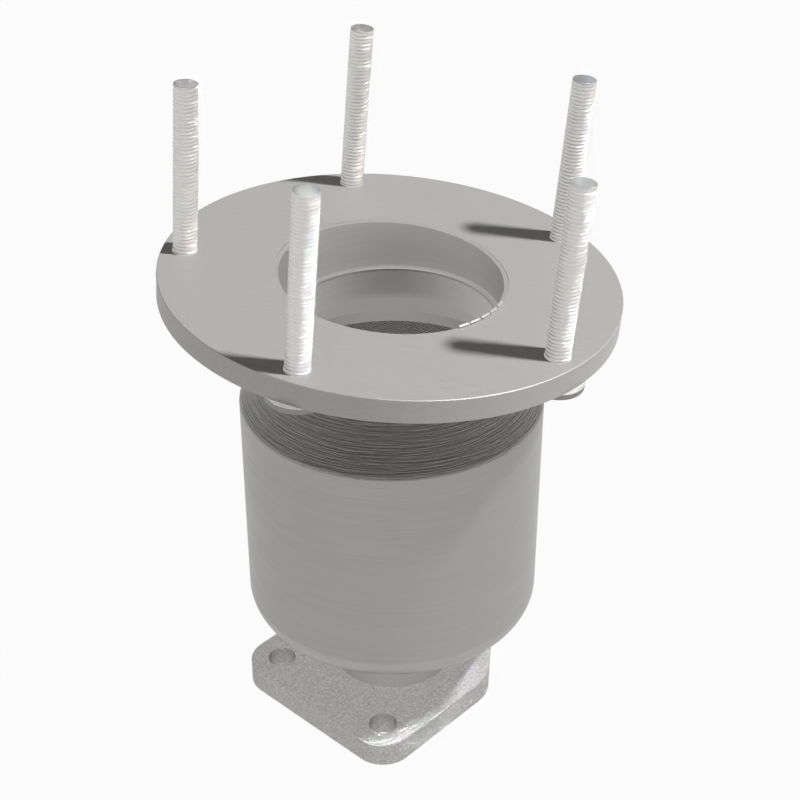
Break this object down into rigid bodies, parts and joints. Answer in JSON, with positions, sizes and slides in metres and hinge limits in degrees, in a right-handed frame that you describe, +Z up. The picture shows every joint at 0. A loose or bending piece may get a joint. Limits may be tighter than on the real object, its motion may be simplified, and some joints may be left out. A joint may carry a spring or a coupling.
{
  "type": "catalytic converter",
  "caption": "Upright sheet steel catalytic converter with a round bolted inlet plate, a domed canister round a coated ceramic brick and a three-hole outlet flange.",
  "frame": {"origin": "on the canister's axis, in the lower face of the outlet flange", "axes": "+Z up along the canister's axis towards the inlet plate; X along the straight front edge of the outlet flange, +Y towards its single third hole"},
  "size_m": [0.1514, 0.1502, 0.2285],
  "materials": {
    "plate_steel": "brushed",
    "tube_steel": "turned",
    "spun_steel": "spun",
    "shell_steel": "brushed round",
    "flange_steel": "blasted",
    "ceramic": "coated ceramic",
    "fibre_mat": "fibre",
    "wire_knit": "knitted wire",
    "ring_steel": "pressed",
    "bolt_steel": "zinc plated"
  },
  "bodies": {
    "root": {"mounting_plate": "plate_steel", "inlet_tube": "tube_steel", "inlet_cone": "spun_steel", "canister_shell": "shell_steel", "outlet_cone": "spun_steel", "outlet_tube": "tube_steel", "outlet_flange": "flange_steel", "catalyst_brick": "ceramic", "support_mat": "fibre_mat", "upper_mat_seal": "wire_knit", "lower_mat_seal": "wire_knit", "upper_retaining_ring": "ring_steel", "lower_retaining_ring": "ring_steel", "plate_bolt_1": "bolt_steel", "plate_bolt_2": "bolt_steel", "plate_bolt_3": "bolt_steel", "plate_bolt_4": "bolt_steel", "plate_bolt_5": "bolt_steel"}
  },
  "joints": []
}
